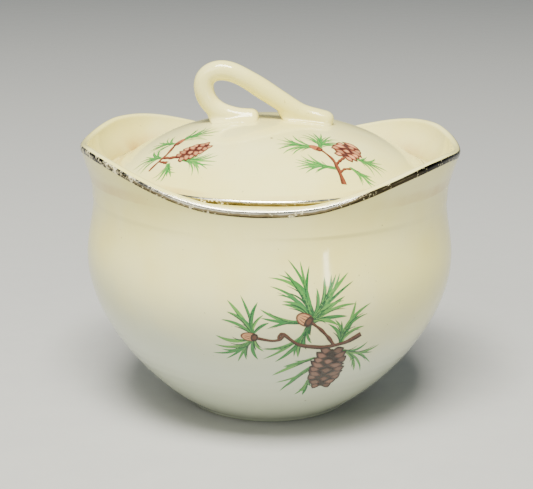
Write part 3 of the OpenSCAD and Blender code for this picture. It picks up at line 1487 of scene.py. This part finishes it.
@dataclass
class Print:
    """Strokes of ink gathered for one sprig, as points on the print, lifts and colours."""

    across: list[Array] = field(default_factory=list)
    up: list[Array] = field(default_factory=list)
    lift: list[Array] = field(default_factory=list)
    ink: list[Array] = field(default_factory=list)
    faces: list[Array] = field(default_factory=list)
    count: int = 0

    def add(self, across: Array, up: Array, lift: Array, ink: Array, faces: Array) -> None:
        """Adds a batch of strokes.

        Args:
            across: places across the print.
            up: places up it.
            lift: how high each point lies over the glaze.
            ink: the colour of each point.
            faces: faces that number the batch's own points from 0.
        """
        shape = across.shape
        self.across.append(across.ravel())
        self.up.append(up.ravel())
        self.lift.append(np.broadcast_to(lift, shape).ravel())
        self.ink.append(np.broadcast_to(ink, (*shape, 4)).reshape(-1, 4))
        self.faces.append(faces + self.count)
        self.count += across.size

    def ribbons(self, across: Array, up: Array, lift: Array, ink: Array) -> None:
        """Adds ribbons.

        Args:
            across: places across the print, as ribbon, place along it, place across it.
            up: places up the print, in the same order.
            lift: lifts in the same order.
            ink: colours in the same order.
        """
        ribbons, rows, columns = across.shape
        faces = grid_faces(rows, columns, False, False)[:, ::-1]
        shift = (np.arange(ribbons) * rows * columns)[:, None, None]
        self.add(across, up, lift, ink, (faces[None] + shift).reshape(-1, 4))

    def shapes(
        self, places: Array, headings: Array, outline: Array, middle: Place,
        lift: float, inks: tuple,
    ) -> None:
        """Adds copies of one closed shape, shaded from its middle out to a dark edge.

        The outline is shrunk towards the middle in rings. A cap across the outline's two halves,
        point against point, closes the smallest.

        Args:
            places: the origin of each copy.
            headings: the way each points, in degrees.
            outline: the shape, as places along the heading and aside from it.
            middle: the place in the shape from which the shading spreads.
            lift: how high the ink lies.
            inks: colours of the middle, halfway out and the outline.
        """
        rings = np.array([0.05, 0.40, 0.70, 0.86, 1.0])
        sink = np.array([0, 0, 0.002, 0.006, 0.014])
        shape = np.array(middle) + (outline - np.array(middle)) * rings[:, None, None]
        angle = np.radians(headings)[:, None, None]
        ahead, aside = shape[None, ..., 0], shape[None, ..., 1]
        across = places[:, 0, None, None] + np.cos(angle) * ahead - np.sin(angle) * aside
        up = places[:, 1, None, None] + np.sin(angle) * ahead + np.cos(angle) * aside
        colours = np.array([inks[0], inks[0], inks[1], inks[2], inks[2]])[None, :, None, :]
        level = (lift - sink)[None, :, None] + 0 * across
        sides = outline.shape[0]
        half = np.arange(sides // 2 - 1)
        cap = np.stack([half, half + 1, sides - 2 - half, sides - 1 - half], -1)
        faces = np.concatenate([grid_faces(len(rings), sides, False, True), cap])
        shift = (np.arange(len(places)) * len(rings) * sides)[:, None, None]
        ink = np.broadcast_to(colours, (*across.shape, 4))
        self.add(across, up, level, ink, (faces[None] + shift).reshape(-1, 4))


@dataclass
class Sprig:
    """One printed pine sprig: twigs, tufts of needles, buds and cones on a skin."""

    name: str
    skin: Skin
    body: Body
    inks: Inks
    tufts: tuple[Tuft, ...]
    cones: tuple[Cone, ...]
    buds: tuple[Bud, ...]
    twigs: tuple[Twig, ...]
    seed: int
    needle_w: float = 1.02

    def build(self, finish: bpy.types.Material) -> bpy.types.Object:
        """Draws the sprig in layers, needles first and cones last, and lays it on its skin.

        Args:
            finish: the ink's material.

        Returns:
            The piece.
        """
        draw = np.random.default_rng(self.seed)
        strokes = Print()
        for tuft in self.tufts:
            self.draw_tuft(strokes, tuft, draw)
        for twig in self.twigs:
            self.draw_twig(strokes, twig, draw)
        for bud in self.buds:
            self.draw_bud(strokes, bud)
        for cone in self.cones:
            self.draw_cone(strokes, cone, draw)
        across, up, lift = map(np.concatenate, (strokes.across, strokes.up, strokes.lift))
        points = self.skin.lay(across, up, lift)
        piece = mesh_object(self.name, points, np.concatenate(strokes.faces))
        layer = piece.data.attributes.new("ink", "FLOAT_COLOR", "POINT")
        layer.data.foreach_set("color", np.concatenate(strokes.ink).astype(np.float32).ravel())
        dress(piece, finish, self.body)
        return piece

    def draw_tuft(self, strokes: Print, tuft: Tuft, draw: np.random.Generator) -> None:
        """Draws a tuft: a green blade for each needle, and a darker stroke up one side of it.

        A blade leaves the twig along the tuft's axis and curls away from it, is widest a third
        of the way up, and comes to a point.

        Args:
            strokes: the print.
            tuft: the tuft.
            draw: the source of the small unevenness.
        """
        heading, length = np.array(tuft.needles, float).T
        count = len(heading)
        order = draw.permutation(count)
        heading = np.radians(heading[order] + draw.normal(0, 1.5, count))
        length = length[order]
        off = np.angle(np.exp(1j * (heading - np.radians(tuft.axis))))
        bow = -0.15 * np.sign(off) * np.minimum(1, np.abs(off) / 0.5) + draw.normal(0, 0.028, count)
        start = np.array(tuft.place) + draw.normal(0, 0.25, (count, 2))
        tone = draw.uniform(0, 1, (count, 1, 1, 1))
        pale, green, dark = map(np.array, (self.inks.leaf_pale, self.inks.leaf, self.inks.leaf_dark))
        blade = dark + 0 * tone if tuft.dark else green * (1 - tone**1.6) + pale * tone**1.6
        wide = self.needle_w * draw.uniform(0.8, 1.25, count) * np.minimum(1, 0.55 + length / 20)
        depth = np.arange(count)[:, None, None] * LIFTS.each_blade
        lift = LIFTS.blade + depth
        self._blades(strokes, start, heading, length, bow, wide, lift, blade, green, 0.0)
        slim = wide * draw.uniform(0.32, 0.50, count)
        part = length * draw.uniform(0.5, 0.97, count)
        shade = dark * (1 - 0.25 * tone) + green * 0.25 * tone
        lift = LIFTS.shade + depth
        self._blades(strokes, start, heading, part, bow, slim, lift, shade, shade, 0.55)

    @staticmethod
    def _blades(
        strokes: Print, start: Array, heading: Array, length: Array, bow: Array, wide: Array,
        lift: Array, root_ink: Array, tip_ink: Array, aside: float,
    ) -> None:
        """Adds one blade for each start.

        Args:
            strokes: the print.
            start: where each springs from.
            heading: the way its far end lies, in radians.
            length: how far off that is.
            bow: how far its middle stands off the straight line, as a share of its length.
            wide: its greatest width.
            lift: how high it lies.
            root_ink: its colour at the twig.
            tip_ink: its colour at the point.
            aside: how far it is moved off the middle, as a share of its width.
        """
        t = np.linspace(0, 1, 11)[None, :, None]
        cos, sin = np.cos(heading)[:, None, None], np.sin(heading)[:, None, None]
        lanes = np.array([1.0, 0.0, -1.0])
        body = 0.30 * (1 - t) + 0.80 * np.clip(np.sin(np.pi * t**1.1), 0, 1) ** 0.7
        half = wide[:, None, None] / 2 * body
        forward = length[:, None, None] * t + 0 * lanes
        side = (bow * length)[:, None, None] * 4 * t * (1 - t) + half * (lanes + 2 * aside)
        across = start[:, 0, None, None] + cos * forward - sin * side
        up = start[:, 1, None, None] + sin * forward + cos * side
        level = lift - 0.010 * np.abs(lanes) + 0 * across
        share = t[..., None] ** 1.5
        ink = root_ink * (1 - 0.6 * share) + tip_ink * 0.6 * share
        ink = np.broadcast_to(ink, (*across.shape, 4)).copy()
        ink[..., 3] = 1
        strokes.ribbons(across, up, level, ink)

    def draw_twig(self, strokes: Print, twig: Twig, draw: np.random.Generator) -> None:
        """Draws a twig as a ribbon with dark edges and a lighter middle, uneven in thickness.

        Args:
            strokes: the print.
            twig: the twig.
            draw: the source of the unevenness.
        """
        places = np.array(twig.places, float)
        t = np.linspace(0, len(places) - 1, 12 * (len(places) - 1) + 1)
        path = [np.interp(t, np.arange(len(places)), places[:, k]) for k in range(2)]
        path = relaxed(np.stack(path, -1), 12)
        run = np.gradient(path, axis=0)
        run /= np.linalg.norm(run, axis=-1, keepdims=True)
        share = t / t[-1]
        width = twig.thick + (twig.thin - twig.thick) * share
        width = width * (1 + 0.16 * np.sin(share * 19 + draw.uniform(0, 6)))
        lanes = np.array([0.5, 0.34, 0.12, -0.2, -0.5])
        half = width[:, None] * lanes
        across = (path[:, :1] - run[:, 1:] * half)[None]
        up = (path[:, 1:] + run[:, :1] * half)[None]
        dark, light = np.array(self.inks.bark_dark), np.array(self.inks.bark)
        blend = np.array([0.9, 0.15, 0.0, 0.8, 1.0])[None, None, :, None]
        ink = dark * blend + light * (1 - blend)
        level = LIFTS.twig - 0.012 * np.abs(lanes / 0.5) ** 4
        strokes.ribbons(across, up, np.broadcast_to(level, across.shape), ink)

    def draw_bud(self, strokes: Print, bud: Bud) -> None:
        """Draws a bud: a pointed tan oval with brown creases, and a dark cap at the twig.

        Args:
            strokes: the print.
            bud: the bud.
        """
        place, heading = np.array([bud.base]), np.array([bud.heading])
        inks = self.inks
        strokes.shapes(
            place, heading, egg(bud.length, bud.width, 0.35), (bud.length * 0.55, 0), LIFTS.bud,
            (inks.bud, inks.bud, inks.bark),
        )
        way = np.radians(bud.heading)
        count = np.array([-0.24, 0.0, 0.24])
        start = np.array(bud.base) + count[:, None] * bud.width * np.array([-np.sin(way), np.cos(way)])
        ahead = np.full(3, way) - count * 0.5
        self._blades(
            strokes, start, ahead, np.full(3, bud.length * 0.85), count * 0.25,
            np.full(3, 0.24), np.full((3, 1, 1), LIFTS.crease), np.array(inks.bark),
            np.array(inks.bark), 0.0,
        )
        strokes.shapes(
            place, heading, egg(bud.length * 0.42, bud.width * 0.88, 0.8),
            (bud.length * 0.2, 0), LIFTS.cap, (inks.bark, inks.bark_dark, inks.bark_dark),
        )

    def draw_cone(self, strokes: Print, cone: Cone, draw: np.random.Generator) -> None:
        """Draws a cone: rows of lens-shaped scales over a dark egg, from its tip to its base.

        Args:
            strokes: the print.
            cone: the cone.
            draw: the source of the unevenness.
        """
        inks = self.inks
        heading = np.radians(cone.heading)
        along = np.array([np.cos(heading), np.sin(heading)])
        aside = np.array([-along[1], along[0]])
        base = np.array(cone.base)
        strokes.shapes(
            base[None], np.array([cone.heading]), egg(cone.length * 0.94, cone.width * 0.9, 0.1),
            (cone.length * 0.4, 0), LIFTS.cone, (inks.scale_dark,) * 3,
        )
        tall = cone.length / cone.rows * 1.62
        for row in range(cone.rows - 1, -1, -1):
            share = (row + 0.4) / cone.rows
            span = cone.width * self._girth(share, cone.taper)
            number = max(1, round(cone.across * span / cone.width - (0.6 if row % 2 else 0)))
            slots = (np.arange(number) - (number - 1) / 2) / number
            size = span / number * draw.uniform(1.14, 1.32, number)
            lag = cone.length * 0.07 * (slots * 2) ** 2
            place = base + along * (share * cone.length - lag - tall * 0.45)[:, None]
            place = place + aside * (slots * span + draw.normal(0, 0.07, number))[:, None]
            turn = cone.heading + slots * 58 + draw.normal(0, 9, number)
            level = LIFTS.scale + LIFTS.each_row * (cone.rows - row)
            for one in range(number):
                light = np.array(inks.scale_light) * draw.uniform(0.55, 1.2)
                strokes.shapes(
                    place[one:one + 1], turn[one:one + 1], lens(tall, float(size[one])),
                    (tall * 0.55, 0.0), level + LIFTS.each_scale * one,
                    (light, inks.scale, inks.scale_dark),
                )

    @staticmethod
    def _girth(share: float, taper: float) -> float:
        """Width of a cone at a share of its length: an egg that is fuller near its base."""
        return float(np.sin(np.pi * (0.13 + 0.80 * share**taper)) ** 0.62)


def egg(length: float, width: float, blunt: float) -> Array:
    """Outlines an oval from its base along its heading.

    Args:
        length: its length.
        width: its width.
        blunt: 0 for a pointed far end, 1 for a square one.

    Returns:
        Places along and aside.
    """
    turn = np.linspace(0, 2 * np.pi, 20, endpoint=False)
    power = 1 - 0.45 * blunt
    ahead = length * (0.5 + 0.5 * np.sign(np.cos(turn)) * np.abs(np.cos(turn)) ** power)
    return np.stack([ahead, width / 2 * np.sin(turn) * (1 - 0.22 * (1 - blunt) * np.cos(turn))], -1)


def lens(tall: float, wide: float) -> Array:
    """Outlines a scale: pointed at its two sides, flatter at its root than at its lip.

    Args:
        tall: its size along the heading.
        wide: its size across.

    Returns:
        Places along and aside.
    """
    turn = np.linspace(0, 2 * np.pi, 16, endpoint=False)
    aside = np.cos(turn)
    bulge = (1 - np.abs(aside) ** 1.7) * np.sign(np.sin(turn))
    ahead = np.where(np.sin(turn) > 0, 0.55 + 0.45 * bulge, 0.55 + 0.50 * bulge)
    return np.stack([tall * (ahead - 0.18 * aside**2), wide / 2 * -aside], -1)


def bowl_sprig(name: str, bowl: Bowl, angle: float, seed: int) -> Sprig:
    """Lays out the large sprig on one side of the bowl.

    Args:
        name: the piece's name.
        bowl: the bowl it lies on.
        angle: the angle of its middle, in degrees from the front towards +X.
        seed: the draw of its unevenness.

    Returns:
        The sprig, not yet built.
    """
    return Sprig(
        name=name, skin=BowlSkin(bowl, angle, 37.3), body=Body.BOWL, inks=Inks(), seed=seed,
        tufts=(
            Tuft((-8.4, 0.2), 110, ((123, 12), (110, 12), (84, 10), (67, 7), (38, 5.5), (139, 9.5),
                                    (153, 10), (131, 8), (97, 7))),
            Tuft((-8.4, -1.2), 240, ((180, 10.5), (194, 11), (206, 9.5), (207, 12.5), (232, 11),
                                     (249, 9.5), (261, 8), (281, 7.5), (297, 5.5), (220, 8))),
            Tuft((7.3, 4.4), 100, ((111, 18), (102, 16.5), (90, 15), (133, 17), (127, 16), (117, 16),
                                   (139, 15), (115, 12), (141, 12), (146, 9.5), (153, 10), (96, 11))),
            Tuft((6.9, 3.6), 175, ((162, 14), (172, 13.5), (187, 12), (168, 9))),
            Tuft((7.6, 4.2), 52, ((74, 13), (67, 14), (62, 14), (59, 15), (52, 16), (39, 15.5),
                                  (57, 9), (26, 10.5), (21, 13), (4, 10), (-12, 8.5), (33, 11),
                                  (80, 9))),
            Tuft((6.5, 1.8), 235, ((210, 14), (222, 16), (232, 14.5), (250, 10), (259, 9.5),
                                   (246, 5), (284, 5), (271, 7))),
            Tuft((15.8, -4.4), 70, ((118, 8), (103, 8.5), (74, 14), (64, 12), (54, 15), (43, 12),
                                    (34, 9), (88, 8))),
            Tuft((7.4, 3.2), 88, ((92, 6.0), (104, 4.5), (58, 5), (44, 5), (250, 4.5), (26, 4),
                                  (76, 4), (262, 3.5)), True),
            Tuft((17.2, -6.8), -25, ((10, 8.5), (-2, 12), (-16, 10.5), (-38, 12.5), (-57, 13),
                                     (-65, 11), (-70, 9), (-28, 9))),
            Tuft((8.6, -8.4), 205, ((188, 5.5), (196, 9), (207, 8.5), (210, 13), (200, 6))),
            Tuft((8.4, -12.4), 225, ((213, 12.5), (231, 14), (229, 9))),
            Tuft((7.8, -18.0), 262, ((247, 8), (264, 8.5), (285, 4), (255, 6))),
        ),
        cones=(Cone((13.8, -5.8), -98, 17.4, 9.4),),
        buds=(Bud((-7.0, -0.9), 172, 4.8, 2.8), Bud((7.5, 3.4), 148, 5.0, 3.8)),
        twigs=(
            Twig(((-7.3, -1.0), (-3.1, -1.9), (-1.0, -1.5), (0.0, 0.3), (1.9, -1.6), (4.3, -3.6),
                  (11.0, -5.0), (15.0, -4.5), (18.2, -3.9), (22.3, -1.9)), 0.85, 1.45),
            Twig(((7.4, 3.6), (10.0, 1.4), (12.6, -1.8), (14.4, -5.0)), 0.8, 1.2),
            Twig(((-1.2, -1.9), (-1.5, -0.2), (-0.6, 0.7), (0.4, 0.2)), 0.8, 0.7),
        ),
    )


def spray(heading: float, spread: float, length: float, count: int) -> tuple:
    """Lists needles evenly over a spread, longest along the heading.

    Args:
        heading: the middle heading, in degrees.
        spread: the angle between the outermost needles.
        length: the longest needle.
        count: how many.

    Returns:
        A heading and a length for each.
    """
    share = np.linspace(-0.5, 0.5, count)
    wave = 1 - 0.9 * share**2 - 0.18 * (np.arange(count) % 2)
    return tuple(zip((heading + spread * share).tolist(), (length * wave).tolist()))


def lid_sprigs(lid: Lid) -> tuple[Sprig, Sprig]:
    """Lays out the two small sprigs on the front of the lid.

    Args:
        lid: the lid they lie on.

    Returns:
        The left and the right sprig, not yet built.
    """
    warm = Inks(
        leaf_pale=linear(124, 178, 72), leaf=linear(58, 142, 54), leaf_dark=linear(14, 92, 38),
        bark=linear(134, 66, 36), bark_dark=linear(78, 28, 16), bud=linear(180, 104, 62),
        scale=linear(132, 66, 42), scale_light=linear(214, 150, 104), scale_dark=linear(70, 24, 15),
    )
    left = Sprig(
        name="sprig_lid_left", skin=LidSkin(lid, (-21.5, -22.9)), body=Body.LID, inks=warm,
        seed=52, needle_w=0.56,
        tufts=(
            Tuft((-4.2, 8.4), 16, spray(18, 80, 12.0, 15)),
            Tuft((-5.4, 8.2), 140, spray(146, 110, 8.5, 13)),
            Tuft((-8.4, 1.8), 140, spray(150, 120, 8.0, 13)),
            Tuft((-6.0, -3.0), 268, spray(264, 84, 7.0, 10)),
            Tuft((-2.0, -3.4), -34, spray(-30, 74, 11.5, 14)),
        ),
        cones=(Cone((-3.0, -2.0), 20, 9.6, 6.2, 7, 3, 0.85),),
        buds=(Bud((-5.0, 6.4), 52, 4.0, 2.2),),
        twigs=(
            Twig(((-11.4, -2.4), (-8.8, 0.2), (-6.6, 2.6), (-5.0, 6.8)), 0.8, 1.0),
            Twig(((-7.8, 1.2), (-5.2, -0.6), (-2.0, -1.4)), 0.9, 1.7),
            Twig(((-8.8, 0.0), (-6.2, -2.4)), 0.5, 1.2),
        ),
    )
    right = Sprig(
        name="sprig_lid_right", skin=LidSkin(lid, (18.8, -25.7)), body=Body.LID, inks=warm,
        seed=53, needle_w=0.56,
        tufts=(
            Tuft((-3.6, 3.4), 88, spray(88, 120, 9.5, 17)),
            Tuft((-4.8, 2.8), 180, spray(184, 84, 11.5, 13)),
            Tuft((1.0, -4.8), 186, spray(186, 64, 11.5, 14)),
            Tuft((6.4, 2.6), 10, spray(6, 90, 9.0, 12)),
            Tuft((4.8, -2.4), -22, spray(-24, 50, 8.0, 9)),
        ),
        cones=(Cone((3.0, 1.4), 76, 9.2, 7.4, 6, 3, 1.1),),
        buds=(Bud((-3.0, 1.8), 158, 4.0, 2.4),),
        twigs=(
            Twig(((-3.0, 1.8), (0.0, -1.0), (1.5, -4.4), (3.4, -9.6)), 0.7, 1.4),
            Twig(((1.1, -3.0), (2.2, -0.6), (3.4, 1.6)), 0.8, 0.9),
            Twig(((2.2, -6.0), (3.4, -3.8), (5.2, -3.0)), 0.7, 0.7),
        ),
    )
    return left, right


# ---------------------------------------------------------------------------------------------
# The studio
# ---------------------------------------------------------------------------------------------


@dataclass
class Studio:
    """A pale floor, soft lights and the camera."""

    target: tuple[float, float, float] = (0.0, 0.0, 0.0725)
    distance: float = 0.420
    azimuth: float = 3.14
    elevation: float = 12.62
    tilt: float = 3.305
    pan: float = 0.155
    roll: float = 0.5
    lens: float = 94.8

    def floor(self) -> None:
        """Lays a wide round floor with a faint grain."""
        angles = np.linspace(0, 2 * np.pi, 96, endpoint=False)
        radii = np.array([0.0, 200, 900, 2500, 6000])
        profile = np.stack([radii, np.zeros_like(radii)], -1)
        disc = closed_surface("studio_floor", around(profile, angles), (True, False))
        if disc.data.polygons[0].normal.z < 0:
            disc.data.flip_normals()
        paint = Paint("pale_floor")
        grain = paint.noise(60, 4, 0.6, 1.3).step(0.3, 0.7)
        colour = paint.mix(grain * 0.5, linear(186, 186, 184), linear(178, 178, 177))
        finish = paint.finish({"Base Color": colour, "Roughness": 0.42 + grain * 0.1})
        disc.data.materials.append(finish)

    def light(self, name: str, place: tuple[float, float, float], size: tuple[float, float],
              power: float, colour: tuple[float, float, float]) -> None:
        """Hangs one rectangular lamp that faces the bowl.

        Args:
            name: the lamp's name.
            place: where it hangs, in metres.
            size: its width and height.
            power: its power in watts.
            colour: its colour.
        """
        lamp = bpy.data.lights.new(name, "AREA")
        lamp.shape = "RECTANGLE"
        lamp.size, lamp.size_y = size
        lamp.energy = power
        lamp.color = colour
        holder = bpy.data.objects.new(name, lamp)
        holder.location = place
        aim = Vector(self.target) - Vector(place)
        holder.rotation_euler = aim.to_track_quat("-Z", "Y").to_euler()
        bpy.context.scene.collection.objects.link(holder)

    def lights(self) -> None:
        """Hangs a weak and a strong wide lamp over the front and a narrow window to the right.

        The air round them is a pale even light that fills the shadows.
        """
        self.light("soft_front", (-0.55, -0.90, 0.80), (0.7, 0.5), 5, (1.0, 0.975, 0.88))
        self.light("high_front", (-0.05, -0.50, 1.24), (0.7, 0.45), 49, (1.0, 0.98, 0.88))
        self.light("tall_window", (0.62, -0.80, 0.165), (0.055, 0.30), 1.2, (1.0, 1.0, 1.0))
        world = bpy.data.worlds.new("studio_air")
        world.use_nodes = True
        world.node_tree.nodes["Background"].inputs["Color"].default_value = (0.82, 0.92, 1.0, 1)
        world.node_tree.nodes["Background"].inputs["Strength"].default_value = 0.24
        bpy.context.scene.world = world

    def camera(self) -> None:
        """Sets the camera a little above the rim, its axis tilted below the rim's middle."""
        lens = bpy.data.cameras.new("view_camera")
        lens.lens = self.lens
        lens.sensor_width = 36.0
        lens.clip_start = 0.01
        holder = bpy.data.objects.new("view_camera", lens)
        turn, lean = np.radians(self.azimuth), np.radians(self.elevation)
        back = Vector((np.sin(turn) * np.cos(lean), -np.cos(turn) * np.cos(lean), np.sin(lean)))
        holder.location = Vector(self.target) + back * self.distance
        straight = Euler((np.pi / 2 - lean, 0, turn), "XYZ").to_matrix()
        aside = Euler(
            (np.radians(-self.tilt), np.radians(self.pan), np.radians(self.roll)), "XYZ"
        ).to_matrix()
        holder.rotation_euler = (straight @ aside).to_euler()
        bpy.context.scene.collection.objects.link(holder)
        bpy.context.scene.camera = holder

    def build(self) -> None:
        """Sets the whole studio up."""
        self.camera()
        self.floor()
        self.lights()


def main() -> None:
    """Builds every piece in order, and reports each."""
    logging.basicConfig(level=logging.INFO, format="%(name)s: %(message)s")
    Studio().build()
    bowl = Bowl()
    lid = Lid()
    lustre = MetalLustre().make("metal_lustre")
    bowl.build(CreamGlaze().make("cream_glaze_bowl", (0.0302, -0.0335, 0.0262), 0.055))
    RimLine(bowl).build(lustre)
    lid_glaze = CreamGlaze().make("cream_glaze_lid", (0.0014, -0.0200, 0.0844), 0.030)
    lid.build(lid_glaze)
    LidLine(lid).build(lustre)
    Handle(lid).build(lid_glaze)
    ink = PrintedInk().make("printed_ink")
    bowl_sprig("sprig_front", bowl, 7.5, 51).build(ink)
    bowl_sprig("sprig_back", bowl, 187.5, 57).build(ink)
    for sprig in lid_sprigs(lid):
        sprig.build(ink)


if __name__ == "__main__":
    main()
